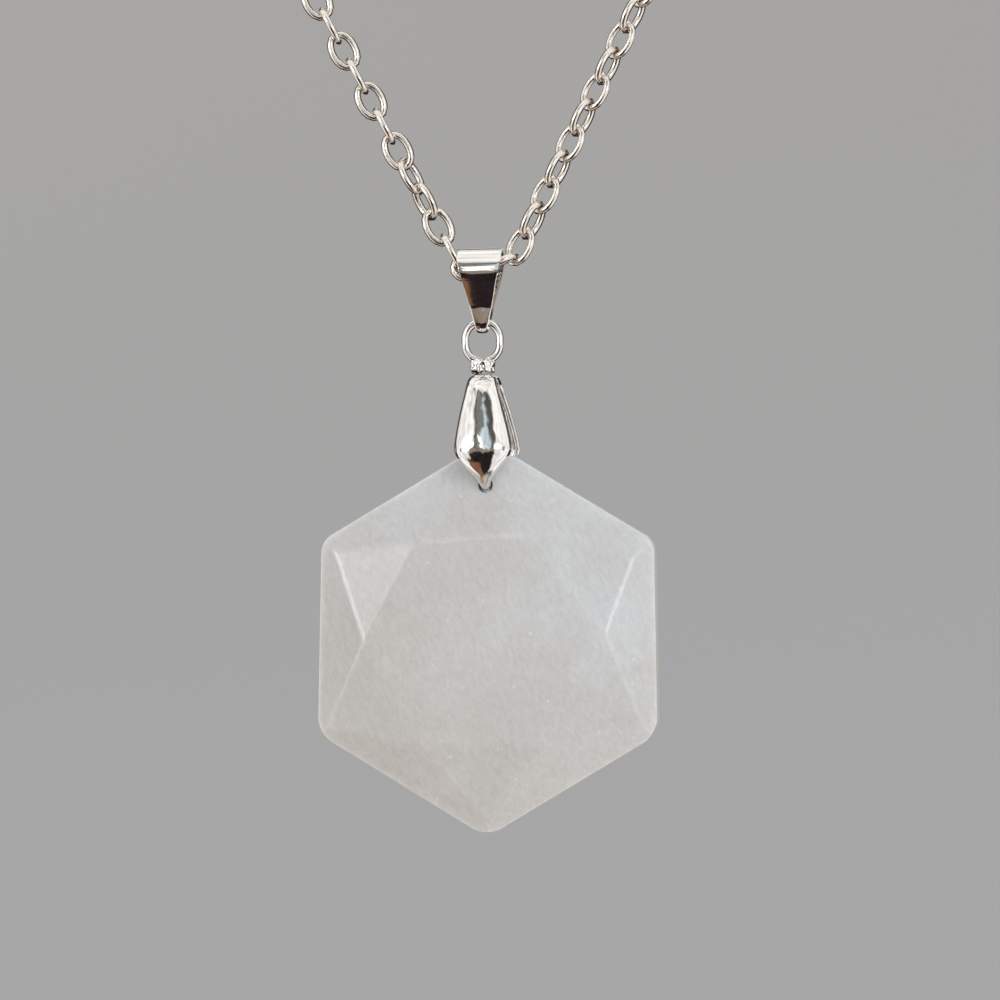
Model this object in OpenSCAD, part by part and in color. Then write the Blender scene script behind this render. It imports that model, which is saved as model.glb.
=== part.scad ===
// A six-sided crystal, cut with a star of facets on both faces, held by a
// pinch bail that hangs in a folded bail on a cable chain.
// X is the wearer's right to left, the front faces -Y and Z is up.
// The origin is the top of the chain's loop, where it hangs on the nape.

/* [Crystal] */
// Distance between the upright sides, half-way up
stone_w = 30.1; // [28:0.1:32]
// Distance from the top corner down to the bottom one, before they are rounded
stone_h = 35.3; // [34:0.1:36]
// How much wider the stone is at its lower side corners than at the upper ones
stone_taper = 0.3; // [0:0.1:0.6]
// Length of an upright side, before its corners are rounded
side_l = 17.2; // [16.8:0.1:17.8]
// Thickness between the two tables
stone_t = 7.5; // [6.5:0.1:9]
// Thickness of the upright edge that runs round the stone
girdle_t = 2.8; // [2:0.1:3.4]
// Radius that rounds the three upper corners
upper_corner_r = 1.9; // [1:0.1:3]
// Radius that rounds the three lower corners
lower_corner_r = 2.6; // [1:0.1:3]
// Distance between opposite edges of the table as a share of the stone's width
table_share = 0.62; // [0.5:0.01:0.7]
// How far the star's tips stop short of the corners
tip_inset = 1.9; // [1:0.1:3]
// How much nearer the middle the top facet of the star is cut than the others
top_cut = 0.8; // [0:0.1:1.2]
// How far the stone sits turned on its pins, in degrees
stone_turn = 1.2; // [-2:0.1:2]
// Diameter of the hole drilled through it
drill_d = 1.3; // [1.2:0.1:1.4]
// Distance of the hole below the top corner
drill_drop = 4; // [3.7:0.1:4.1]

/* [Pinch bail] */
// Distance from the ring's middle down to the stone's middle
stone_drop = 26.8; // [26.5:0.1:27.2]
// Ring's outer width
ring_w = 3.82; // [3.6:0.02:4.2]
// Ring's wire
ring_wire = 0.68; // [0.5:0.02:0.8]
// Straight stretch in the ring's sides, drawn down to the neck
ring_stretch = 0.45; // [0.2:0.05:0.8]
// Widest part of a leaf
leaf_w = 4.92; // [4:0.02:5.6]
// Width of a leaf at its neck
leaf_top_w = 2.3; // [1.8:0.1:2.5]
// Half the depth over both domed leaves
dome_r = 4.85; // [4.8:0.05:5.4]
// Thickness of a leaf
leaf_t = 0.45; // [0.35:0.05:0.6]
// Pin that stands in the stone's hole
pin_d = 0.8; // [0.6:0.05:0.8]

/* [Hanging bail] */
// Width over the fold
bail_w = 4; // [3.6:0.1:4]
// Width at the bottom tip
bail_tip_w = 0.9; // [0.7:0.1:1.2]
// Inside radius of the fold that the chain runs through
fold_r = 1.75; // [1.75:0.05:2]
// Thickness of the strip
strip_t = 0.4; // [0.3:0.05:0.4]
// Distance from the fold's top down to the ring's middle
ring_drop = 8.15; // [7.6:0.01:8.6]
// Radius of the crotch that the ring hangs in
crotch_r = 0.5; // [0.48:0.01:0.6]
// Depth below the fold where the two sides start to run parallel
nip_drop = 5.1; // [4.6:0.1:5.4]

/* [Chain] */
// Outer length of a link
link_l = 3.8; // [3.8:0.02:3.9]
// Outer width of a link
link_w = 2.6; // [2.56:0.02:2.6]
// Wire of a link
wire_d = 0.54; // [0.4:0.02:0.54]
// Clearance where one link hooks the next
link_gap = 0.14; // [0.12:0.01:0.16]
// Lean of the two hanging strands from upright
strand_lean = 27; // [24:0.5:30]
// Links in the left strand, an even number
left_links = 86; // [60:2:100]
// Links in the right strand, an odd number
right_links = 85; // [59:2:99]

/* [Clasp] */
// Radius of the spring ring's middle line
clasp_r = 2.1; // [1.9:0.1:2.6]
// Tube of the spring ring
clasp_wire = 0.9; // [0.7:0.05:0.9]
// Radius of the small eye's middle line
eye_r = 0.9; // [0.9:0.05:1.1]

/* [Hidden] */
$fn = 64;
eps = 0.01;
big = 60;
crystal_colour = "#dad7d5";
metal_colour = "#c9ccd1";
chain_colour = "#bfc2c7";

// Stone's corners before rounding, from the upper right one round, as the front is seen
side_rise = 0.15;
upper = [(stone_w - stone_taper) / 2, side_rise + side_l / 2];
lower = [(stone_w + stone_taper) / 2, side_rise - side_l / 2];
corners = [upper, [0, stone_h / 2], [-upper.x, upper.y], [-lower.x, lower.y], [0, -stone_h / 2], lower];
function corner(k) = corners[(k + 6) % 6];
function corner_r(k) = (k + 6) % 6 < 3 ? upper_corner_r : lower_corner_r;

// Sides: side k runs from corner k to the next, and reach is its distance from the middle
function side_out(k) = let (d = corner(k + 1) - corner(k)) [d.y, -d.x] / norm(d);
function side_reach(k) = side_out(k) * corner(k);

// The point at distance a along one direction and at distance b along another
function meet(out_a, a, out_b, b) =
    [a * out_b.y - b * out_a.y, b * out_a.x - a * out_b.x] / (out_a.x * out_b.y - out_a.y * out_b.x);

// Facets: the star's own fall towards the corners, and those between them towards the sides
crown_h = (stone_t - girdle_t) / 2;
star_in = table_share * stone_w / 2;
function star_out(k) = corner(k) / norm(corner(k));
function star_reach(k) = star_in - ((k + 6) % 6 == 1 ? top_cut : 0);
function table_corner(k) = meet(star_out(k), star_reach(k), star_out(k + 1), star_reach(k + 1));
function side_slope(k) = atan2(crown_h, side_reach(k) - side_out(k) * table_corner(k));
function tip(k) = corner(k) - tip_inset * star_out(k);
function tip_h(k) = girdle_t / 2 + (side_reach(k) - side_out(k) * tip(k)) * tan(side_slope(k));
function star_slope(k) = atan2(stone_t / 2 - tip_h(k), norm(tip(k)) - star_reach(k));

// Links: a flat one turns on its neighbours' end bars, which sit flat_r from its middle
half_l = (link_l - wire_d) / 2;
half_w = (link_w - wire_d) / 2;
flat_r = half_l - wire_d - link_gap;
edge_r = half_l;

// Feet of the two strands beside the bail, from the middle of its top edge
foot_l = [-1.95, -1.8];
foot_r = [3.15, -1.3];
vee = [
    (foot_l.x + foot_r.x) / 2 + tan(strand_lean) * (foot_l.y - foot_r.y) / 2,
    (foot_l.y + foot_r.y) / 2 + (foot_l.x - foot_r.x) / tan(strand_lean) / 2
];
start_l = norm(foot_l - vee);
start_r = norm(foot_r - vee);

// Loop: two straight strands that run into one round arc over the nape
function pair_count(n) = floor(n / 2);
function spare(n) = n - pair_count(n);
function left_run(n) = start_l + 2 * (spare(n) * edge_r + pair_count(n) * flat_r);
function right_run(n) = start_r + 2 * (spare(n) * flat_r + pair_count(n) * edge_r);
end_grip = half_l - wire_d / 2 - clasp_wire / 2 - link_gap;
eye_x = clasp_r + eye_r + clasp_wire / 4;
clasp_l = eye_x + eye_r + clasp_r;
nub_a = 70;
nub_d = 0.6;
nub_h = 1.1;
loop_half = (left_run(left_links) + right_run(right_links) + clasp_l - flat_r + end_grip) / 2;
arc_turn = 90 + strand_lean;
arc_r = loop_half / (1 / tan(strand_lean) + arc_turn * PI / 180);
leg_l = arc_r / tan(strand_lean);
vee_z = -arc_r - arc_r / sin(strand_lean);

// A point of the loop, s along the right strand from the vee, and its mirror on the left
function on_leg(s) = [s * sin(strand_lean), vee_z + s * cos(strand_lean)];
function on_arc(a) = [arc_r * cos(a), arc_r * sin(a) - arc_r];
function right_at(s) = s < leg_l ? on_leg(s) : on_arc((s - leg_l) / arc_r * 180 / PI - strand_lean);
function left_at(s) = [-right_at(s).x, right_at(s).y];

// Hanging bail, ring and stone stand under each other
bail_x = -vee.x;
bail_z = vee_z - vee.y;
fold_z = bail_z - fold_r - strip_t;
ring_z = bail_z - ring_drop;
ring_r = (ring_w - ring_wire) / 2;
crotch_z = ring_z + ring_r - 0.14;
tip_z = crotch_z - crotch_r - strip_t - eps;
taper_drop = 1.1;
stone_z = ring_z - stone_drop;
drill_z = stone_h / 2 - drill_drop;

// Pinch bail heights, from the ring's middle
neck_z = -ring_stretch - ring_r;
neck_d = 1.9;
leaf_top_z = -3.1;
leaf_wide_z = -10.1;
leaf_tip_z = -13;
pin_z = drill_z - stone_drop + (drill_d - pin_d) / 2 - 0.1;
pin_x = drill_z * sin(stone_turn) * 2 / 3;
pin_gap = 0.8;

// Side view of the leaves: a round shoulder, a long flat belly and a round underside
belly_z = -9.3;
belly_r = 9;
shoulder_r = 1.9;
shoulder_a = 33;
under_r = 5.4;

// The middle joint under the bail, where the two inner links meet
function joint_between(p, q, a, b) =
    let (d = norm(q - p), u = (q - p) / d, x = (d * d + a * a - b * b) / (2 * d), h = sqrt(a * a - x * x))
    p + u * x + [u.y, -u.x] * h;
foot_left = [bail_x, bail_z] + foot_l;
foot_right = [bail_x, bail_z] + foot_r;
foot_middle = joint_between(foot_left, foot_right, 2 * flat_r, 2 * edge_r);

// Half-space above a facet: it falls along the direction out and is h high at distance r
module facet_cut(out, r, h, slope)
    rotate([0, 0, atan2(out.y, out.x)]) translate([r, 0, h]) rotate([0, slope, 0])
        translate([-big, -big, 0]) cube([2 * big, 2 * big, big]);

// Middle of the arc that rounds corner k
function round_at(k) =
    meet(side_out(k - 1), side_reach(k - 1) - corner_r(k), side_out(k), side_reach(k) - corner_r(k));

module outline() {
    polygon([for (k = [0:5], side = [k - 1, k]) round_at(k) + corner_r(k) * side_out(side)]);
    for (k = [0:5]) translate(round_at(k)) circle(corner_r(k));
}

module stone() color(crystal_colour)
    translate([bail_x, 0, stone_z]) rotate([0, stone_turn, 0]) rotate([90, 0, 0]) difference() {
        translate([0, 0, -stone_t / 2]) linear_extrude(stone_t) outline();
        for (back = [0, 1], k = [0:5]) mirror([0, 0, back]) {
            facet_cut(side_out(k), side_reach(k), girdle_t / 2, side_slope(k));
            facet_cut(star_out(k), star_reach(k), stone_t / 2, star_slope(k));
        }
        translate([0, drill_z, 0]) cylinder(d = drill_d, h = stone_t + 1, center = true);
    }

// A piece of round wire bent to an arc in the XY plane
module bend(r, d, from, to)
    rotate([0, 0, from]) rotate_extrude(angle = to - from) translate([r, 0]) circle(d = d, $fn = 32);

// Oblong ring: two half rings joined by two straight sides, long along X
module oblong(r, half, d) union() {
    for (end = [0, 180]) rotate([0, 0, end]) {
        translate([half, 0, 0]) bend(r, d, -90, 90);
        translate([0, r, 0]) rotate([0, 90, 0]) cylinder(d = d, h = 2 * half, center = true, $fn = 32);
    }
}

// Direction from a circle's middle to where a line from point p touches it, on the side of +X
function touch_angle(middle, r, p) =
    atan2(p.y - middle.y, p.x - middle.x) + sign(middle.y - p.y) * acos(r / norm(p - middle));

// Front view of a leaf: tapered sides that run into a round bottom with a small point
module leaf_outline() {
    middle = [0, leaf_wide_z];
    r = leaf_w / 2;
    top = [leaf_top_w / 2, leaf_top_z];
    side_a = touch_angle(middle, r, top);
    tip_a = touch_angle(middle, r, [0, leaf_tip_z]);
    polygon([
        [-top.x, eps], [-top.x, top.y], middle + r * [-cos(side_a), sin(side_a)],
        middle + r * [-cos(tip_a), sin(tip_a)], [0, leaf_tip_z], middle + r * [cos(tip_a), sin(tip_a)],
        middle + r * [cos(side_a), sin(side_a)], [top.x, top.y], [top.x, eps]
    ]);
    translate(middle) circle(r);
}

// Half section of the domed shell that both leaves are cut from, inset from its outside
module dome_section(inset) {
    belly = [dome_r - belly_r, belly_z];
    under = [dome_r - under_r, belly_z];
    shoulder = belly + (belly_r - shoulder_r) * [cos(shoulder_a), sin(shoulder_a)];
    outward = [cos(shoulder_a), sin(shoulder_a)];
    intersection() {
        union() {
            intersection() {
                translate(belly) circle(belly_r - inset);
                polygon([belly, belly + [big, 0], belly + big * outward]);
            }
            intersection() {
                translate(under) circle(under_r - inset);
                translate([0, belly_z - under_r]) square([big, under_r]);
            }
            translate(shoulder) circle(shoulder_r - inset);
            polygon([
                [0, belly_z - 1], [0, leaf_top_z - inset], shoulder + [0, shoulder_r - inset],
                shoulder + (shoulder_r - inset) * outward
            ]);
        }
        translate([0, leaf_tip_z - 1]) square([big, leaf_top_z - leaf_tip_z + 1]);
    }
}

// Both leaves and the crown that joins them, cut from one domed shell of revolution
module leaves() intersection() {
    difference() {
        rotate_extrude() dome_section(0);
        rotate_extrude() dome_section(leaf_t);
    }
    rotate([90, 0, 0]) linear_extrude(3 * dome_r, center = true) leaf_outline();
}

// Both pins point at each other through the stone's hole and leave pin_gap between them.
// They stand a little to the side, where the turned stone has its hole.
module pins() {
    root = dome_r - under_r + sqrt(under_r * under_r - pow(pin_z - belly_z, 2)) - leaf_t / 2;
    for (face = [1, -1]) translate([pin_x, face * (root + pin_gap / 2) / 2, pin_z]) rotate([90, 0, 0])
        cylinder(d = pin_d, h = root - pin_gap / 2, center = true);
}

module pinch_bail() color(metal_colour) translate([bail_x, 0, ring_z]) union() {
    translate([0, 0, -ring_stretch / 2]) rotate([90, 90, 0]) oblong(ring_r, ring_stretch / 2, ring_wire);
    translate([0, 0, leaf_top_z - leaf_t]) cylinder(d = neck_d, h = neck_z - leaf_top_z + leaf_t);
    leaves();
    pins();
}

// Side view of the folded strip, inset from its outside: round fold, two sides that
// close towards the nip, a short parallel stretch and the crotch that holds the ring
module strip_side(inset) {
    fold = [0, fold_z];
    fold_out = fold_r + strip_t - inset;
    nip = [crotch_r + strip_t - inset, bail_z - nip_drop];
    side_a = touch_angle(fold, fold_out, nip);
    touch = fold + fold_out * [cos(side_a), sin(side_a)];
    translate(fold) circle(fold_out);
    polygon([[-touch.x, touch.y], [-nip.x, nip.y], nip, touch]);
    translate([-nip.x, crotch_z]) square([2 * nip.x, nip.y - crotch_z]);
    translate([0, crotch_z]) circle(nip.x);
}

module hanging_bail() color(metal_colour) intersection() {
    translate([bail_x, 0, 0]) rotate([90, 0, 90]) linear_extrude(bail_w, center = true) difference() {
        strip_side(0);
        strip_side(strip_t);
    }
    translate([bail_x, 0, 0]) rotate([90, 0, 0]) linear_extrude(4 * fold_r, center = true) polygon([
        [-bail_w / 2, bail_z + 1], [-bail_w / 2, bail_z - taper_drop], [-bail_tip_w / 2, tip_z],
        [bail_tip_w / 2, tip_z], [bail_w / 2, bail_z - taper_drop], [bail_w / 2, bail_z + 1]
    ]);
}

// A link from joint p to joint q of the loop, flat to the front or edge-on
module link(p, q, flat) {
    d = q - p;
    translate([(p.x + q.x) / 2, 0, (p.y + q.y) / 2]) rotate([0, -atan2(d.y, d.x), 0])
        rotate([flat ? 90 : 0, 0, 0]) oblong(half_w, half_l - half_w, wire_d);
}

module chain_left() color(chain_colour) {
    link(foot_left, foot_middle, true);
    for (k = [0:left_links - 1]) link(left_at(left_run(k)), left_at(left_run(k + 1)), k % 2 == 1);
}

module chain_right() color(chain_colour) {
    link(foot_middle, foot_right, false);
    for (k = [0:right_links - 1]) link(right_at(right_run(k)), right_at(right_run(k + 1)), k % 2 == 0);
}

module hoop(r, d) rotate_extrude() translate([r, 0]) circle(d = d, $fn = 32);

// Spring ring with its lever nub and the small eye that the left strand ends in
module clasp() color(chain_colour) {
    p = left_at(left_run(left_links));
    q = right_at(right_run(right_links) - flat_r + end_grip);
    translate([p.x, 0, p.y]) rotate([0, -atan2(q.y - p.y, q.x - p.x), 0]) union() {
        translate([eye_r, 0, 0]) hoop(eye_r, wire_d);
        translate([eye_r + eye_x, 0, 0]) {
            hoop(clasp_r, clasp_wire);
            rotate([0, 90, nub_a]) translate([0, 0, clasp_r]) cylinder(d = nub_d, h = nub_h, $fn = 32);
        }
    }
}

stone();
pinch_bail();
hanging_bail();
chain_left();
chain_right();
clasp();
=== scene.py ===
# A six-sided milky crystal in a pinch bail, hung by a folded bail on an oval cable chain.
from math import acos, atan2, ceil, cos, hypot, pi, radians, sin, sqrt, tan

import bmesh
import bpy
from mathutils import Matrix, Vector, noise


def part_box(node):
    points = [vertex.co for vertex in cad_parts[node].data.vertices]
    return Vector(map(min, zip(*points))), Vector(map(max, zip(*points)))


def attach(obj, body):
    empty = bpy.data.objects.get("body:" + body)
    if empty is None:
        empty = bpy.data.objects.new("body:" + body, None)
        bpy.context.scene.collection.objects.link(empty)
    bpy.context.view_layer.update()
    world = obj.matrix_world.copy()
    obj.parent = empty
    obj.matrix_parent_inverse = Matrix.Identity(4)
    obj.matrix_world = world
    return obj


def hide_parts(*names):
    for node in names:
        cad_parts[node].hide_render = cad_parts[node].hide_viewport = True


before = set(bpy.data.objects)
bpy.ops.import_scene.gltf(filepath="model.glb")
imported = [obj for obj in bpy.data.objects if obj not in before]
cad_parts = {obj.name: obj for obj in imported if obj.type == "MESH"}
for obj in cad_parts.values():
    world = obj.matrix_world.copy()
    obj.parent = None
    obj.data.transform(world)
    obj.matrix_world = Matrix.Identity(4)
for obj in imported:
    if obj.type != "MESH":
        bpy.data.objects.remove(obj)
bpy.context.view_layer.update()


# Crystal: milky quartz, sawn to a six-sided tablet and cut by hand with a star of facets round a
# table on both faces. A last tumble gives it a satin polish and softens every crease. A hole for
# the bail's two pins is drilled through it below its top corner.
mm = 0.001
stone_w, stone_h, stone_t = 30.1 * mm, 35.3 * mm, 7.5 * mm
stone_taper = 0.3 * mm
side_l, side_rise = 17.2 * mm, 0.15 * mm
girdle_t = 2.8 * mm
upper_corner_r, lower_corner_r = 1.9 * mm, 2.6 * mm
stone_turn = radians(1.2)
drill_d, drill_drop = 1.3 * mm, 4 * mm
crease_r, edge_bevel = 0.28 * mm, 0.12 * mm
outline_spare = 0.005 * mm
# Star facets from the upper right one round: turn off the corner's line in degrees, and in mm how
# far inside the corner the tip lies and how far from the stone's middle the facet meets the table
star_cuts = [
    (6.5, 2.4, 8.97), (4.3, 1.55, 9.0), (2.4, 1.55, 9.31),
    (0, 0.9, 9.41), (0, 1.9, 9.33), (0, 1.35, 9.13),
]

ring_drop, stone_drop = 8.15 * mm, 26.8 * mm
bail_low, bail_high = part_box("hanging_bail")
bail_x, bail_top = (bail_low.x + bail_high.x) / 2, bail_high.z
ring_middle = Vector((bail_x, 0, bail_top - ring_drop))
stone_middle = ring_middle - Vector((0, 0, stone_drop))

upper = Vector(((stone_w - stone_taper) / 2, side_rise + side_l / 2))
lower = Vector(((stone_w + stone_taper) / 2, side_rise - side_l / 2))
corners = [
    upper, Vector((0, stone_h / 2)), Vector((-upper.x, upper.y)),
    Vector((-lower.x, lower.y)), Vector((0, -stone_h / 2)), lower,
]
corner_radii = [upper_corner_r] * 3 + [lower_corner_r] * 3


def deselect():
    """Leaves nothing selected, so that what is added next stands alone."""
    if bpy.context.object and bpy.context.object.mode != "OBJECT":
        bpy.ops.object.mode_set(mode="OBJECT")
    bpy.ops.object.select_all(action="DESELECT")


def pick(thing, mode, wanted):
    """Goes into edit mode on a mesh and selects those of its elements for which wanted is true."""
    bpy.context.view_layer.objects.active = thing
    bpy.ops.object.mode_set(mode="EDIT")
    bpy.ops.mesh.select_mode(type=mode)
    bpy.ops.mesh.select_all(action="DESELECT")
    mesh = bmesh.from_edit_mesh(thing.data)
    for element in {"VERT": mesh.verts, "EDGE": mesh.edges, "FACE": mesh.faces}[mode]:
        if wanted(element):
            element.select_set(True)
    mesh.select_flush_mode()
    bmesh.update_edit_mesh(thing.data)


def finish_with(thing, kind, **settings):
    """Adds a modifier to a piece and applies it."""
    bpy.context.view_layer.objects.active = thing
    bpy.ops.object.modifier_add(type=kind)
    modifier = thing.modifiers[-1]
    for name, value in settings.items():
        setattr(modifier, name, value)
    bpy.ops.object.modifier_apply(modifier=modifier.name)


def face_outwards(thing):
    """Merges a mesh's doubles and turns its faces outwards."""
    pick(thing, "VERT", lambda v: True)
    bpy.ops.mesh.remove_doubles(threshold=0.001 * mm)
    bpy.ops.mesh.normals_make_consistent(inside=False)
    bpy.ops.object.mode_set(mode="OBJECT")


def shade(thing):
    """Shades a piece smooth, with its large faces kept flat up to their rounded creases."""
    deselect()
    thing.select_set(True)
    bpy.context.view_layer.objects.active = thing
    bpy.ops.object.shade_smooth()
    finish_with(thing, "WEIGHTED_NORMAL", weight=90, keep_sharp=True)


def side_out(k):
    """Outward direction of the side that runs from corner k to the next."""
    along = corners[(k + 1) % 6] - corners[k % 6]
    return Vector((along.y, -along.x)).normalized()


def side_reach(k):
    """Distance of side k from the stone's middle."""
    return side_out(k).dot(corners[k % 6])


def meet(out_a, a, out_b, b):
    """The point at distance a along one direction and at distance b along another."""
    return Vector((a * out_b.y - b * out_a.y, b * out_a.x - a * out_b.x)) / out_a.cross(out_b)


def star_out(k):
    """Direction in which star facet k falls, towards corner k but for its turn."""
    return (Matrix.Rotation(radians(star_cuts[k % 6][0]), 2) @ corners[k % 6]).normalized()


def star_reach(k):
    """Distance from the middle at which star facet k meets the table."""
    return star_cuts[k % 6][2] * mm


def cut(out, r, h, slope, side):
    """Cuts away what lies above a facet that is h high at distance r and falls along out."""
    bpy.ops.mesh.select_all(action="SELECT")
    bpy.ops.mesh.bisect(
        plane_co=(r * out.x, r * out.y, side * h),
        plane_no=(sin(slope) * out.x, sin(slope) * out.y, side * cos(slope)),
        use_fill=True, clear_outer=True)


def slab(name):
    """The six-sided outline with sharp corners, as a flat face at the height of the stone's back."""
    deselect()
    bpy.ops.mesh.primitive_circle_add(vertices=6, radius=stone_w / 2, fill_type="NGON")
    sawn = bpy.context.object
    sawn.name = name
    for vertex, corner in zip(sawn.data.vertices, corners):
        vertex.co = (*corner, -stone_t / 2)
    return sawn


stone = slab("crystal")
pick(stone, "VERT", lambda v: True)
bpy.ops.mesh.extrude_region_move(TRANSFORM_OT_translate={"value": (0, 0, stone_t)})
crown_h = (stone_t - girdle_t) / 2
for k in range(6):
    table_corner = meet(star_out(k), star_reach(k), star_out(k + 1), star_reach(k + 1))
    side_slope = atan2(crown_h, side_reach(k) - side_out(k).dot(table_corner))
    tip = corners[k] - star_cuts[k][1] * mm * corners[k].normalized()
    tip_h = girdle_t / 2 + (side_reach(k) - side_out(k).dot(tip)) * tan(side_slope)
    star_slope = atan2(stone_t / 2 - tip_h, star_out(k).dot(tip) - star_reach(k))
    for side in (1, -1):
        cut(side_out(k), side_reach(k), girdle_t / 2, side_slope, side)
        cut(star_out(k), star_reach(k), stone_t / 2, star_slope, side)
face_outwards(stone)
# The creases between facets are rounded here, and those along the sawn sides further down
pick(stone, "EDGE", lambda e: all(abs(f.normal.z) > 0.3 for f in e.link_faces))
bpy.ops.mesh.bevel(offset=crease_r, segments=5, affect="EDGES", clamp_overlap=True)
bpy.ops.object.mode_set(mode="OBJECT")

rounded = slab("rounded_outline")
for k, r in enumerate(corner_radii):
    pick(rounded, "VERT", lambda v: (v.co.xy - corners[k]).length < 0.1 * mm)
    half_turn = side_out(k - 1).angle(side_out(k)) / 2
    bpy.ops.mesh.bevel(offset=r * tan(half_turn), offset_type="OFFSET", segments=13, affect="VERTICES")
bpy.ops.mesh.select_all(action="SELECT")
# The outline is a hair wider than the sawn sides, so that no two faces lie in one plane when it cuts
grown = 1 + 2 * outline_spare / stone_w
bpy.ops.transform.resize(value=(grown, grown, 1), center_override=(0, 0, 0))
bpy.ops.transform.translate(value=(0, 0, -stone_t / 2))
bpy.ops.mesh.extrude_region_move(TRANSFORM_OT_translate={"value": (0, 0, 2 * stone_t)})
face_outwards(rounded)
deselect()
bpy.ops.mesh.primitive_cylinder_add(
    vertices=80, radius=drill_d / 2, depth=2 * stone_t, location=(0, stone_h / 2 - drill_drop, 0))
drill = bpy.context.object
finish_with(stone, "BOOLEAN", object=rounded, operation="INTERSECT", solver="EXACT")
finish_with(stone, "BOOLEAN", object=drill, operation="DIFFERENCE", solver="EXACT")
bpy.data.objects.remove(rounded)
bpy.data.objects.remove(drill)
face_outwards(stone)
finish_with(stone, "BEVEL", width=edge_bevel, segments=3, limit_method="ANGLE", angle_limit=radians(35))
stone.data.transform(
    Matrix.Translation(stone_middle) @ Matrix.Rotation(stone_turn, 4, "Y")
    @ Matrix.Rotation(pi / 2, 4, "X"))
shade(stone)


def add_node(tree, kind, inputs=None, **settings):
    """Adds a node: its inputs, by name or number, are values or other nodes' outputs."""
    made = tree.nodes.new(kind)
    for name, value in settings.items():
        setattr(made, name, value)
    for name, value in (inputs or {}).items():
        if isinstance(value, bpy.types.NodeSocket):
            tree.links.new(value, made.inputs[name])
        else:
            made.inputs[name].default_value = value
    return made


def linear(code):
    """An sRGB hex colour as linear red, green, blue and alpha."""
    shares = [int(code[i:i + 2], 16) / 255 for i in (1, 3, 5)]
    return [s / 12.92 if s <= 0.04045 else ((s + 0.055) / 1.055) ** 2.4 for s in shares] + [1]


def new_material(name, **sockets):
    """A material with its shader, the values set on it, and its Object coordinates."""
    material = bpy.data.materials.new(name)
    material.use_nodes = True
    tree = material.node_tree
    shader = tree.nodes["Principled BSDF"]
    for socket, value in sockets.items():
        shader.inputs[socket.replace("_", " ")].default_value = value
    return material, tree, shader, add_node(tree, "ShaderNodeTexCoord").outputs["Object"]


def wear(thing, material):
    """Gives a piece one material in place of what it had."""
    thing.data.materials.clear()
    thing.data.materials.append(material)


# Milky quartz, cut and tumbled: fluid inclusions scatter the light inside it, so it glows like
# ground glass. Its colour runs from a warm, darker grey at the lower left to a cool, lighter one at
# the upper right, and that is painted light: a painted cool light on the upper right and a painted
# warm shade on the lower left. It has soft clouds some 8 mm wide, a grain of fine steep strokes, and
# a few inclusions as bright specks.
quartz, tree, shader, place = new_material(
    "milky_quartz_tumbled", IOR=1.544, Roughness=0.2, Subsurface_Weight=1.0,
    Subsurface_Radius=(1.0, 0.96, 0.94), Subsurface_Scale=1.2 * mm)
cloud_size, veil_size, grain_size, speck_size = 8 * mm, 0.42 * mm, 0.28 * mm, 1.5 * mm
veil_lean, veil_length, veil_share = radians(24), 2, 0.2
speck_share, grain_h = 0.4, 0.01 * mm
# Painted light: the base colour turns from a warm, darker grey at the lower left to a cool, lighter one
# at the upper right
light_tint_way = Vector((1, 0, 0.7)).normalized() / stone_w
local = add_node(tree, "ShaderNodeMapping", {"Vector": place, "Location": -stone_middle}).outputs[0]
clouds = add_node(tree, "ShaderNodeTexNoise", {
    "Vector": local, "Scale": 1 / cloud_size, "Detail": 5, "Roughness": 0.6})
light_tint_at = add_node(tree, "ShaderNodeVectorMath", {0: local, 1: light_tint_way}, operation="DOT_PRODUCT")
clouds_and_light_tint = add_node(tree, "ShaderNodeMath", {
    0: clouds.outputs[0], 1: light_tint_at.outputs["Value"]}, operation="ADD")
light_tint_share = add_node(tree, "ShaderNodeMapRange", {0: clouds_and_light_tint.outputs[0], 1: 0.05, 2: 0.95, 3: 0, 4: 1})
# Painted light tint: warm darker grey at the lower left, cool lighter grey at the upper right
light_tinted = add_node(tree, "ShaderNodeMix", {
    0: light_tint_share.outputs[0], 6: linear("#dbd7d3"), 7: linear("#e1e3e5")}, data_type="RGBA")
deep = add_node(tree, "ShaderNodeMapRange", {0: clouds.outputs[0], 1: 0.35, 2: 0.65, 3: 0.35, 4: 0})
dimmed = add_node(tree, "ShaderNodeMix", {
    0: deep.outputs[0], 6: light_tinted.outputs[2], 7: linear("#ccc9c5")}, data_type="RGBA")
leant = add_node(tree, "ShaderNodeMapping", {"Vector": local, "Rotation": (0, veil_lean, 0)})
drawn = add_node(tree, "ShaderNodeMapping", {
    "Vector": leant.outputs[0], "Scale": (1, 1, 1 / veil_length)})
veils = add_node(tree, "ShaderNodeTexNoise", {
    "Vector": drawn.outputs[0], "Scale": 1 / veil_size, "Detail": 3, "Roughness": 0.65,
    "Distortion": 0.8})
veiled = add_node(tree, "ShaderNodeMapRange", {0: veils.outputs[0], 1: 0.3, 2: 0.7, 3: 0, 4: 1})
milk = add_node(tree, "ShaderNodeMix", {
    0: veiled.outputs[0], 6: linear("#bcb9b6"), 7: linear("#fbfaf9")}, data_type="RGBA")
milky = add_node(tree, "ShaderNodeMix", {
    0: veil_share, 6: dimmed.outputs[2], 7: milk.outputs[2]}, data_type="RGBA")
cells = add_node(tree, "ShaderNodeTexVoronoi", {"Vector": local, "Scale": 1 / speck_size})
ragged = add_node(tree, "ShaderNodeMath", {
    0: veils.outputs[0], 1: 0.3, 2: cells.outputs["Distance"]}, operation="MULTIPLY_ADD")
speck = add_node(tree, "ShaderNodeMapRange", {0: ragged.outputs[0], 1: 0.27, 2: 0.18, 3: 0, 4: 0.5})
draw = add_node(tree, "ShaderNodeSeparateXYZ", {0: cells.outputs["Color"]})
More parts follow.
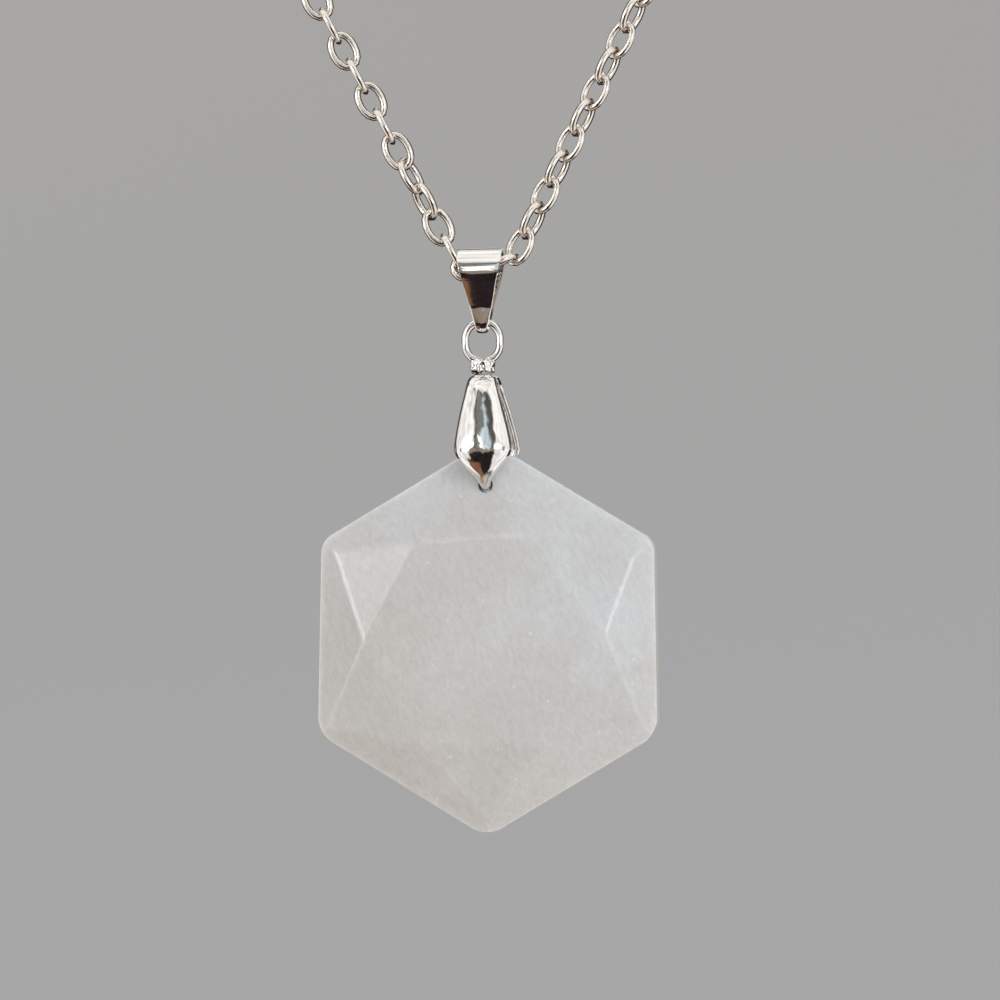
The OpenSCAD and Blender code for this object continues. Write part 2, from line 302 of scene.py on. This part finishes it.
chosen = add_node(tree, "ShaderNodeMath", {
    0: draw.outputs[0], 1: 1 - speck_share}, operation="GREATER_THAN")
specks = add_node(tree, "ShaderNodeMath", {
    0: speck.outputs[0], 1: chosen.outputs[0]}, operation="MULTIPLY")
speckled = add_node(tree, "ShaderNodeMix", {
    0: specks.outputs[0], 6: milky.outputs[2], 7: linear("#fdfcfb")}, data_type="RGBA")
tree.links.new(speckled.outputs[2], shader.inputs["Base Color"])
grain = add_node(tree, "ShaderNodeTexNoise", {"Vector": local, "Scale": 1 / grain_size, "Detail": 2})
relief = add_node(tree, "ShaderNodeBump", {
    "Height": grain.outputs[0], "Strength": 0.3, "Distance": grain_h})
tree.links.new(relief.outputs[0], shader.inputs["Normal"])
wear(stone, quartz)
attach(stone, "pendant")
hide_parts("stone")


# Pinch bail: an oblong ring of wire, soldered to two stamped brass leaves that close over the
# stone's corner like a beak. Each leaf's bent tip and its pin reach into the drilled hole. Bright
# silver-coloured plate covers the beads of solder at the neck too, so they shine as the rest does.
ring_w, ring_wire, ring_stretch = 3.82 * mm, 0.7 * mm, 0.45 * mm
ring_r = (ring_w - ring_wire) / 2
leaf_t = 0.42 * mm
pin_d, pin_gap, pin_root = 0.8 * mm, 0.8 * mm, 3 * mm
pin_play, pin_edge = 0.1 * mm, 0.12 * mm
foot_turn = radians(1.3)
hole = stone_middle + Vector((sin(stone_turn), 0, cos(stone_turn))) * (stone_h / 2 - drill_drop)
pin_x = bail_x + (hole.x - bail_x) * 2 / 3
pin_z = hole.z + (drill_d - pin_d) / 2 - pin_play
# Leaf, in mm: drop below the ring's middle, reach to the front, half its width and its hollow
leaf_rows = [
    (3.12, 0.90, 1.18, 0.30), (3.20, 1.75, 1.27, 0.45), (3.46, 2.60, 1.33, 0.62),
    (3.95, 3.17, 1.43, 0.78), (4.60, 3.46, 1.55, 0.90), (5.50, 3.77, 1.80, 1.02),
    (6.70, 4.12, 2.11, 1.18), (7.90, 4.45, 2.37, 1.32), (8.90, 4.70, 2.55, 1.42),
    (9.60, 4.80, 2.63, 1.47), (10.10, 4.82, 2.63, 1.47), (10.70, 4.76, 2.50, 1.40),
    (11.40, 4.56, 2.10, 1.22), (12.00, 4.26, 1.58, 0.97), (12.50, 3.90, 1.04, 0.70),
    (12.82, 3.62, 0.72, 0.48), (13.05, 3.46, 0.56, 0.38), (13.25, 3.22, 0.48, 0.30),
    (13.48, 2.90, 0.40, 0.24), (13.68, 2.45, 0.28, 0.18),
]


def start_section(half_steps):
    """An open half round section 2 mm wide, whose middle points to the front."""
    deselect()
    bpy.ops.mesh.primitive_circle_add(vertices=4 * half_steps, radius=mm)
    section = bpy.context.object
    pick(section, "VERT", lambda v: v.co.y > 0.01 * mm)
    bpy.ops.mesh.delete(type="VERT")
    pick(section, "VERT", lambda v: True)
    return section


def loft(name, half_steps, points):
    """A surface drawn through a section's places: its front point, lean, half width and depth."""
    section = start_section(half_steps)
    section.name = name
    at_last, lean_last, w_last, d_last = Vector((0, -mm, 0)), 0, mm, mm
    for number, (at, lean, w, d) in enumerate(points):
        step = at - at_last
        if number:
            bpy.ops.mesh.extrude_region_move(TRANSFORM_OT_translate={"value": step})
        else:
            bpy.ops.transform.translate(value=step)
        bpy.ops.transform.rotate(value=lean - lean_last, orient_axis="X", center_override=at)
        bpy.ops.transform.resize(value=(w / w_last, d / d_last, d / d_last), center_override=at)
        at_last, lean_last, w_last, d_last = at, lean, w, d
    bpy.ops.object.mode_set(mode="OBJECT")
    return section


def join(parts, name):
    """Joins pieces into the first of them, and names it."""
    deselect()
    for part in parts:
        part.select_set(True)
    bpy.context.view_layer.objects.active = parts[0]
    bpy.ops.object.join()
    parts[0].name = name
    return parts[0]


def turn_on_ring(thing, angle, axis):
    """Turns a mesh about a line through the ring's middle."""
    thing.data.transform(
        Matrix.Translation(ring_middle) @ Matrix.Rotation(angle, 4, axis)
        @ Matrix.Translation(-ring_middle))


bail_parts = []
for rear in (False, True):
    points = []
    for k, (drop, reach, half_w, hollow) in enumerate(leaf_rows):
        before, after = leaf_rows[max(k - 1, 0)], leaf_rows[min(k + 1, len(leaf_rows) - 1)]
        lean = atan2(after[1] - before[1], after[0] - before[0])
        front = ring_middle + Vector((0, -reach, -drop)) * mm
        points.append((front, lean, half_w * mm, hollow * mm))
    leaf = loft("leaf", 7, points)
    face_outwards(leaf)
    finish_with(leaf, "SOLIDIFY", thickness=leaf_t, offset=-1, use_even_offset=True)
    bail_parts.append(leaf)
    deselect()
    bpy.ops.mesh.primitive_cylinder_add(
        vertices=20, radius=pin_d / 2, depth=pin_root - pin_gap / 2, rotation=(pi / 2, 0, 0),
        location=(pin_x, (pin_root + pin_gap / 2) / 2 * (1 if rear else -1), pin_z))
    bpy.ops.object.transform_apply(location=True, rotation=True)
    pin = bpy.context.object
    finish_with(pin, "BEVEL", width=pin_edge, segments=2, limit_method="ANGLE", angle_limit=radians(60))
    bail_parts.append(pin)
    if rear:
        turn_on_ring(leaf, pi, "Z")
    turn_on_ring(leaf, -foot_turn, "Y")

deselect()
bpy.ops.mesh.primitive_torus_add(
    major_segments=48, minor_segments=16, major_radius=ring_r, minor_radius=ring_wire / 2,
    rotation=(pi / 2, 0, 0))
ring = bpy.context.object
bpy.ops.object.transform_apply(rotation=True)
pick(ring, "VERT", lambda v: v.co.z < -0.01 * mm)
bpy.ops.transform.translate(value=(0, 0, -ring_stretch))
bpy.ops.object.mode_set(mode="OBJECT")
ring.data.transform(Matrix.Translation(ring_middle))

neck_r, neck_h, neck_drop, neck_edge = 1.1 * mm, 1.35 * mm, 2.42 * mm, 0.4 * mm
bead_size, bead_swell, bead_step = 0.45 * mm, 0.26 * mm, 0.07 * mm
bead_shift = Vector((3, 1, 2))
deselect()
bpy.ops.mesh.primitive_cylinder_add(vertices=32, radius=neck_r, depth=neck_h)
neck = bpy.context.object
finish_with(neck, "BEVEL", width=neck_edge, segments=5, limit_method="ANGLE", angle_limit=radians(60))
finish_with(neck, "REMESH", mode="VOXEL", voxel_size=bead_step)
for v in neck.data.vertices:
    v.co += v.co.normalized() * bead_swell * noise.noise(v.co / bead_size + bead_shift)
neck.data.transform(Matrix.Translation(ring_middle - Vector((0, 0, neck_drop))))
pinch_bail = join([ring, neck] + bail_parts, "pinch_bail_plated")
deselect()
pinch_bail.select_set(True)
bpy.ops.object.shade_smooth()
finish_with(pinch_bail, "SUBSURF", levels=1, render_levels=1)

ripple_size, scuff_size = 1.5 * mm, 0.25 * mm


def bright_plate(name, ripple_h):
    """Silver-coloured plate over polished brass, on metal that is uneven by about ripple_h."""
    material, tree, shader, place = new_material(name, Metallic=1.0, Base_Color=linear("#eceae8"))
    ripples = add_node(tree, "ShaderNodeTexNoise", {
        "Vector": place, "Scale": 1 / ripple_size, "Detail": 0.6})
    scuffs = add_node(tree, "ShaderNodeTexNoise", {
        "Vector": place, "Scale": 1 / scuff_size, "Detail": 3})
    polish = add_node(tree, "ShaderNodeMapRange", {
        0: scuffs.outputs[0], 1: 0.35, 2: 0.75, 3: 0.05, 4: 0.16})
    tree.links.new(polish.outputs[0], shader.inputs["Roughness"])
    uneven = add_node(tree, "ShaderNodeBump", {
        "Height": ripples.outputs[0], "Strength": 0.6, "Distance": ripple_h})
    tree.links.new(uneven.outputs[0], shader.inputs["Normal"])
    return material


# Stamped and soldered brass, plated bright: a cool silver white mirror that the stamping and the
# hand polish left uneven, so that reflections swim, and a little duller where it is scuffed.
wear(pinch_bail, bright_plate("silver_plate_on_stamped_brass", 0.16 * mm))
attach(pinch_bail, "pendant")
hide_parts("pinch_bail")


# Hanging bail: a tapered strip of the same plated brass, rolled over the chain and pressed
# together below, where the ring hangs in its crotch. Its long edges are rolled under a little.
bail_w, bail_tip_w = 4 * mm, 0.9 * mm
fold_r, strip_t = 1.75 * mm, 0.4 * mm
crotch_r, strip_edge = 0.5 * mm, 0.17 * mm
nip_drop, taper_drop = 5.1 * mm, 1.1 * mm
nip_straight, nip_out, nip_up = 0.4 * mm, 0.02 * mm, 0.1 * mm
crotch_steps, fold_steps = 6, 16
fold_crown, tip_crown = 0.04 * mm, 0.09 * mm
fold_out = fold_r + strip_t
fold_z = bail_top - fold_out
crotch_z = bail_low.z + crotch_r + strip_t


def strip_section(z):
    """Half the strip's width and its crown at a height: full over the fold, tapering to the tip."""
    share = min(1, max(0, bail_top - taper_drop - z) / (bail_top - taper_drop - bail_low.z))
    return (bail_w + (bail_tip_w - bail_w) * share) / 2, fold_crown + (tip_crown - fold_crown) * share


nip = Vector((crotch_r + strip_t, bail_top - nip_drop))
nip_reach = hypot(nip.x, nip.y - fold_z)
side_lean = atan2(nip.y - fold_z, nip.x) + acos(fold_out / nip_reach)
# The strip's front half, up from the crotch to the top of the fold: reach, height and lean
side_path = [
    (nip.x * cos(a), crotch_z + nip.x * sin(a), a)
    for a in [-pi / 2 * (1 - k / crotch_steps) for k in range(crotch_steps + 1)]]
side_path += [
    (nip.x, nip.y - nip_straight, 0), (nip.x + nip_out, nip.y + nip_up, side_lean / 2)]
side_path += [
    (fold_out * cos(a), fold_z + fold_out * sin(a), a)
    for a in [side_lean + (pi / 2 - side_lean) * k / fold_steps for k in range(fold_steps + 1)]]
bail_points = [
    (Vector((bail_x, -y, z)), lean, *strip_section(z)) for y, z, lean in side_path]
bail_points += [
    (Vector((bail_x, y, z)), pi - lean, *strip_section(z))
    for y, z, lean in reversed(side_path[:-1])]
hanging_bail = loft("hanging_bail_plated", 5, bail_points)
face_outwards(hanging_bail)
finish_with(hanging_bail, "SOLIDIFY", thickness=strip_t, offset=-1, use_even_offset=True)
finish_with(
    hanging_bail, "BEVEL", width=strip_edge, segments=4, limit_method="ANGLE", angle_limit=radians(50))
face_outwards(hanging_bail)
shade(hanging_bail)
# Rolled strip under the same plate keeps its flatness, so its reflections have straight edges.
wear(hanging_bail, bright_plate("silver_plate_on_rolled_brass", 0.03 * mm))
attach(hanging_bail, "bail")
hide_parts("hanging_bail")


# Chain: oval links of drawn brass wire, each closed through the last, then plated and tumbled. Both
# strands hang straight from the bail's mouth and meet in one round arc over the nape. Neighbours
# stand square to each other, but each strand is rolled a little, so no link lies quite flat.
link_half_l, link_half_w, link_wire = 1.6 * mm, 1.04 * mm, 0.64 * mm
flat_r, edge_r = 0.95 * mm, 1.63 * mm
strand_lean = radians(27)
left_links, right_links = 86, 85
foot_l, foot_r = Vector((-1.95, -1.8)) * mm, Vector((3.15, -1.3)) * mm
settle_l, settle_r, settle_over = Vector((0.1, 0.1)) * mm, Vector((-0.03, 0.55)) * mm, 20
# Rolls in degrees: the left strand's at its foot and how far it turns from there over some links,
# and the right strand's
roll_l, turn_l, turn_over, roll_r = 5, 90, 5, -28
clasp_r, clasp_wire, eye_r, eye_wire = 2.1 * mm, 0.9 * mm, 0.9 * mm, 0.54 * mm
link_gap = 0.14 * mm
vee = Vector((
    (foot_l.x + foot_r.x) / 2 + tan(strand_lean) * (foot_l.y - foot_r.y) / 2,
    (foot_l.y + foot_r.y) / 2 + (foot_l.x - foot_r.x) / tan(strand_lean) / 2))
start_l, start_r = (foot_l - vee).length, (foot_r - vee).length
end_grip = edge_r - eye_wire / 2 - clasp_wire / 2 - link_gap
eye_x = clasp_r + eye_r + clasp_wire / 4


def left_run(n):
    """Length of the left strand from the strands' crossing to its joint n."""
    return start_l + 2 * (ceil(n / 2) * edge_r + n // 2 * flat_r)


def right_run(n):
    """Length of the right strand from the strands' crossing to its joint n."""
    return start_r + 2 * (ceil(n / 2) * flat_r + n // 2 * edge_r)


clasp_l = eye_x + eye_r + clasp_r
loop_half = (left_run(left_links) + right_run(right_links) + clasp_l - flat_r + end_grip) / 2
arc_r = loop_half / (1 / tan(strand_lean) + pi / 2 + strand_lean)
leg_l = arc_r / tan(strand_lean)
vee_z = -arc_r - arc_r / sin(strand_lean)


def right_at(s):
    """The loop's point at length s along its right half, from the strands' crossing."""
    if s < leg_l:
        return Vector((s * sin(strand_lean), vee_z + s * cos(strand_lean)))
    a = (s - leg_l) / arc_r - strand_lean
    return Vector((arc_r * cos(a), arc_r * sin(a) - arc_r))


def left_at(s):
    """The mirrored point on the loop's left half."""
    point = right_at(s)
    return Vector((-point.x, point.y))


def left_joint(n):
    """Joint n of the left strand, the lowest ones pulled to where the bail's weight settles them."""
    return left_at(left_run(n)) + settle_l * max(0, 1 - n / settle_over)


def right_joint(n):
    """Joint n of the right strand, settled in the same way."""
    return right_at(right_run(n)) + settle_r * max(0, 1 - n / settle_over)


def left_roll(n):
    """How far link n of the left strand is rolled: a quarter turn over its first five links."""
    share = min(n, turn_over) / turn_over
    return radians(roll_l + turn_l * share * share * (3 - 2 * share))


def link_place(p, q, roll):
    """Carries a link that lies along X in the floor's plane to its joints p and q."""
    middle, along = (p + q) / 2, q - p
    return (Matrix.Translation((middle.x, 0, middle.y))
            @ Matrix.Rotation(-atan2(along.y, along.x), 4, "Y")
            @ Matrix.Rotation(roll, 4, "X"))


deselect()
bpy.ops.curve.primitive_bezier_circle_add(radius=1)
link = bpy.context.object
bpy.ops.object.mode_set(mode="EDIT")
bpy.ops.curve.select_all(action="SELECT")
bpy.ops.transform.resize(value=(link_half_l, link_half_w, 1))
bpy.ops.object.mode_set(mode="OBJECT")
link.data.dimensions = "3D"
# The real wire is 0.6 mm: this one has six sides, and is drawn a little thicker to show that width
link.data.bevel_depth = link_wire / 2
link.data.bevel_resolution = 1
link.data.resolution_u = 4
bpy.ops.object.convert(target="MESH")
link = bpy.context.object
face_outwards(link)
bpy.ops.object.shade_smooth()

# One more link hangs from each foot, and the two hold each other below the line between the feet
foot_left, foot_right = left_joint(0), right_joint(0)
span = foot_right - foot_left
span_down = Vector((span.y, -span.x)).normalized()
share_l = (span.length_squared + 4 * flat_r ** 2 - 4 * edge_r ** 2) / (2 * span.length)
sag = sqrt(4 * flat_r ** 2 - share_l ** 2)
foot_middle = foot_left + span.normalized() * share_l + span_down * sag

strands = {
    "chain_left": [(foot_left, foot_middle, pi / 2)] + [
        (left_joint(n), left_joint(n + 1), (n % 2) * pi / 2 + left_roll(n)) for n in range(left_links)],
    "chain_right": [(foot_middle, foot_right, 0)] + [
        (right_joint(n), right_joint(n + 1), (1 - n % 2) * pi / 2 + radians(roll_r))
        for n in range(right_links)],
}

# Silver-coloured plate over drawn wire: bright and slightly warm, softer than the bails because
# the links were tumbled together and gave each other fine nicks.
wire_plate, tree, shader, place = new_material(
    "silver_plate_tumbled", Metallic=1.0, Base_Color=linear("#ece5dd"))
nick_size, nick_h = 0.3 * mm, 0.01 * mm
nicks = add_node(tree, "ShaderNodeTexNoise", {"Vector": place, "Scale": 1 / nick_size, "Detail": 3})
satin = add_node(tree, "ShaderNodeMapRange", {0: nicks.outputs[0], 1: 0.35, 2: 0.75, 3: 0.15, 4: 0.32})
tree.links.new(satin.outputs[0], shader.inputs["Roughness"])
nicked = add_node(tree, "ShaderNodeBump", {
    "Height": nicks.outputs[0], "Strength": 0.4, "Distance": nick_h})
tree.links.new(nicked.outputs[0], shader.inputs["Normal"])

for node, links in strands.items():
    copies = []
    for p, q, roll in links:
        copy = link.copy()
        copy.data = link.data.copy()
        copy.data.transform(link_place(p, q, roll))
        bpy.context.collection.objects.link(copy)
        copies.append(copy)
    strand = join(copies, node + "_links")
    wear(strand, wire_plate)
    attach(strand, "chain")
    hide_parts(node)
bpy.data.objects.remove(link)


# Clasp: a spring ring of the same plated brass, with a thumb nub on its lever and a small eye
# that the left strand's last link holds. It closes the loop at the nape.
nub_turn, nub_d, nub_h = radians(70), 0.6 * mm, 1.1 * mm
clasp_from = left_at(left_run(left_links))
clasp_to = right_at(right_run(right_links) - flat_r + end_grip)
clasp_parts = []
for r, wire, x in ((eye_r, eye_wire, eye_r), (clasp_r, clasp_wire, eye_r + eye_x)):
    deselect()
    bpy.ops.mesh.primitive_torus_add(
        major_segments=48, minor_segments=16, major_radius=r, minor_radius=wire / 2, location=(x, 0, 0))
    bpy.ops.object.transform_apply(location=True)
    clasp_parts.append(bpy.context.object)
deselect()
bpy.ops.mesh.primitive_uv_sphere_add(segments=20, ring_count=12, radius=nub_d / 2)
nub = bpy.context.object
pick(nub, "VERT", lambda v: v.co.z < 0)
bpy.ops.transform.translate(value=(0, 0, -nub_h + nub_d / 2))
bpy.ops.object.mode_set(mode="OBJECT")
nub.data.transform(
    Matrix.Translation((eye_r + eye_x, 0, 0)) @ Matrix.Rotation(nub_turn, 4, "Z")
    @ Matrix.Rotation(pi / 2, 4, "Y") @ Matrix.Translation((0, 0, clasp_r + nub_h - nub_d / 2)))
clasp_parts.append(nub)
clasp = join(clasp_parts, "spring_ring_clasp")
bpy.ops.object.shade_smooth()
clasp_way = clasp_to - clasp_from
clasp.data.transform(
    Matrix.Translation((clasp_from.x, 0, clasp_from.y))
    @ Matrix.Rotation(-atan2(clasp_way.y, clasp_way.x), 4, "Y"))
wear(clasp, wire_plate)
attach(clasp, "chain")
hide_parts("clasp")


# Studio: a pale paper bowl for the floor and every side, and a soft room round it for the light.
# The paper is left out of reflections, so that the metal mirrors the room: white at the sides and
# above, dark below and straight ahead, with a cool window over the camera and one behind.
floor_drop = 78 * mm
floor_z = stone_middle.z - floor_drop
bowl_r, wall_r, wall_h, bend_steps = 1.7, 2.6, 2.4, 10
deselect()
bpy.ops.mesh.primitive_circle_add(vertices=96, radius=bowl_r, fill_type="NGON", location=(0, 0, floor_z))
paper = bpy.context.object
paper.name = "paper_bowl"
bpy.ops.object.transform_apply(location=True)
pick(paper, "EDGE", lambda e: True)
bend = wall_r - bowl_r
last_r, last_z = bowl_r, floor_z
for step in range(1, bend_steps + 1):
    turn = pi / 2 * step / bend_steps
    r, z = bowl_r + bend * sin(turn), floor_z + bend * (1 - cos(turn))
    bpy.ops.mesh.extrude_region_move(TRANSFORM_OT_translate={"value": (0, 0, z - last_z)})
    bpy.ops.transform.resize(value=(r / last_r, r / last_r, 1), center_override=(0, 0, z))
    last_r, last_z = r, z
bpy.ops.mesh.extrude_region_move(TRANSFORM_OT_translate={"value": (0, 0, wall_h)})
bpy.ops.object.mode_set(mode="OBJECT")
bpy.ops.object.shade_smooth()
card, tree, shader, place = new_material(
    "pale_studio_paper", Base_Color=linear("#b4b2b0"), Roughness=0.9, Specular_IOR_Level=0.0)
wear(paper, card)
paper.visible_glossy = paper.visible_diffuse = paper.visible_shadow = False

room = bpy.data.worlds.new("soft_room")
bpy.context.scene.world = room
room.use_nodes = True
tree = room.node_tree
shine = tree.nodes["Background"]
ray = add_node(tree, "ShaderNodeTexCoord").outputs["Generated"]
parts = add_node(tree, "ShaderNodeSeparateXYZ", {0: ray})
upwards = add_node(tree, "ShaderNodeMath", {0: parts.outputs[2]}, operation="ARCSINE").outputs[0]
forwards = add_node(tree, "ShaderNodeMath", {0: parts.outputs[1], 1: -1}, operation="MULTIPLY")
sideways = add_node(tree, "ShaderNodeMath", {
    0: parts.outputs[0], 1: forwards.outputs[0]}, operation="ARCTAN2").outputs[0]
# The room is not as straight as a drawing of it: its edges waver by a few degrees
waver_by = radians(24)
waver = add_node(tree, "ShaderNodeTexNoise", {"Vector": ray, "Scale": 7, "Detail": 2})
wavers = add_node(tree, "ShaderNodeSeparateColor", {0: waver.outputs["Color"]})
wavering = []
for k, angle in enumerate((upwards, sideways)):
    low_end = add_node(tree, "ShaderNodeMath", {0: angle, 1: -waver_by / 2}, operation="ADD")
    wavering.append(add_node(tree, "ShaderNodeMath", {
        0: wavers.outputs[k], 1: waver_by, 2: low_end.outputs[0]}, operation="MULTIPLY_ADD").outputs[0])
up, out = wavering


def band(value, low, high, soft):
    """One between two angles in degrees and nothing outside, with a soft edge."""
    rise = add_node(tree, "ShaderNodeMapRange", {
        0: value, 1: radians(low - soft), 2: radians(low + soft), 3: 0, 4: 1},
        interpolation_type="SMOOTHSTEP")
    fall = add_node(tree, "ShaderNodeMapRange", {
        0: value, 1: radians(high - soft), 2: radians(high + soft), 3: 1, 4: 0},
        interpolation_type="SMOOTHSTEP")
    return add_node(tree, "ShaderNodeMath", {
        0: rise.outputs[0], 1: fall.outputs[0]}, operation="MULTIPLY").outputs[0]


# Panels of light, each hung in front of those above it in the list: its bounds to the right and
# upwards in degrees, how soft its edge is, its colour and its strength
panels = [
    ((-400, 400), (-7, 3), 3, "#9f8f80", 1.0),
    ((-400, 400), (3, 41), 3, "#5a5652", 1.0),
    ((-19, -4), (2, 38), 2, "#8b8e89", 1.0),
    ((-4, 13), (4, 33), 2, "#cfe0ea", 1.1),
    ((-11, -3), (17, 23), 1.5, "#fff6e6", 2.5),
    ((-10, -2), (6, 12), 2, "#ffffff", 2.2),
    ((170, 400), (4, 33), 2, "#cfe0ea", 1.0),
    ((-400, -174), (4, 33), 2, "#cfe0ea", 1.0),
    ((-100, -18), (-90, -31), 5, "#90654c", 1.0),
    ((-400, 400), (-100, -68), 6, "#bdb6a8", 1.0),
    ((28, 106), (-60, 100), 5, "#fffdfa", 1.05),
    ((-106, -28), (5, 100), 4, "#fffdfa", 1.1),
    ((-106, -37), (-24, 7), 4, "#fffdfa", 1.1),
    ((-106, -60), (-60, -20), 5, "#fffdfa", 1.1),
    ((-400, 400), (43, 200), 3, "#fcf9f5", 1.1),
    ((-52, -34), (36, 50), 3, "#a3a19e", 1.0),
    ((-73, -62), (-7, 9), 2, "#8f8d8b", 1.0),
    ((48, 62), (-8, 7), 2, "#9a9896", 1.0),
    ((-38, -25), (8, 20), 3, "#ffffff", 3),
    ((-59, -40), (0, 14), 3, "#ffffff", 7),
    ((28, 43), (1, 14), 3, "#ffffff", 5),
]
light = linear("#241c1e")
for out_bounds, up_bounds, soft, colour, strength in panels:
    share = add_node(tree, "ShaderNodeMath", {
        0: band(out, *out_bounds, soft), 1: band(up, *up_bounds, soft)}, operation="MULTIPLY").outputs[0]
    shown = [c * strength for c in linear(colour)[:3]] + [1]
    light = add_node(tree, "ShaderNodeMix", {0: share, 6: light, 7: shown}, data_type="RGBA").outputs[2]
clutter = add_node(tree, "ShaderNodeTexNoise", {"Vector": ray, "Scale": 4.5, "Detail": 4})
patchy = add_node(tree, "ShaderNodeMapRange", {0: clutter.outputs[0], 1: 0.35, 2: 0.65, 3: 0.75, 4: 1.2})
light = add_node(tree, "ShaderNodeVectorMath", {
    0: light, 1: patchy.outputs[0]}, operation="MULTIPLY").outputs[0]
# Only reflections show the room: all other rays find an even light, warm below and cool above
even_end = radians(50)
glossy = add_node(tree, "ShaderNodeLightPath").outputs["Is Glossy Ray"]
cool = add_node(tree, "ShaderNodeMapRange", {0: upwards, 1: -even_end, 2: even_end, 3: 0, 4: 1})
even = add_node(tree, "ShaderNodeMix", {
    0: cool.outputs[0], 6: linear("#dbd6d1"), 7: linear("#d0d4d8")}, data_type="RGBA")
tree.links.new(add_node(tree, "ShaderNodeMix", {
    0: glossy, 6: even.outputs[2], 7: light}, data_type="RGBA").outputs[2], shine.inputs["Color"])

# Two soft lamps in degrees round from the front and upwards, with their strengths: one lights the
# front from the right, and the other the back from the left
lamp_spread = radians(40)
for name, side, height, strength in (("front_lamp", 40, 20, 0.7), ("back_lamp", 232, 26, 0.9)):
    deselect()
    bpy.ops.object.light_add(type="SUN")
    lamp = bpy.context.object
    lamp.name = name
    level = cos(radians(height))
    lamp_from = Vector((sin(radians(side)) * level, -cos(radians(side)) * level, sin(radians(height))))
    lamp.matrix_world = lamp_from.to_track_quat("Z", "Y").to_matrix().to_4x4()
    lamp.data.energy = strength
    lamp.data.angle = lamp_spread
    lamp.visible_glossy = False

# The camera has the photograph's angle, tilt and scale, and looks at what lies in its middle
photo_px, photo_px_per_mm = 1000, 11.186
azimuth, elevation, roll = radians(6.2), radians(-1.0), radians(-1.19)
camera_far, sensor_w = 0.4, 36
aim_right, aim_drop = 1.27 * mm, 14.42 * mm
aim = Vector((bail_x + aim_right, 0, ring_middle.z - aim_drop))
deselect()
bpy.ops.object.camera_add()
camera = bpy.context.object
camera.data.sensor_width = sensor_w
camera.data.lens = sensor_w * camera_far / (photo_px / photo_px_per_mm * mm)
back = Vector((sin(azimuth) * cos(elevation), -cos(azimuth) * cos(elevation), sin(elevation)))
camera.matrix_world = (
    Matrix.Translation(aim + camera_far * back)
    @ back.to_track_quat("Z", "Y").to_matrix().to_4x4() @ Matrix.Rotation(roll, 4, "Z"))
camera.data.clip_start, camera.data.clip_end = 0.01, 20
bpy.context.scene.camera = camera
bpy.context.scene.view_settings.view_transform = "Standard"
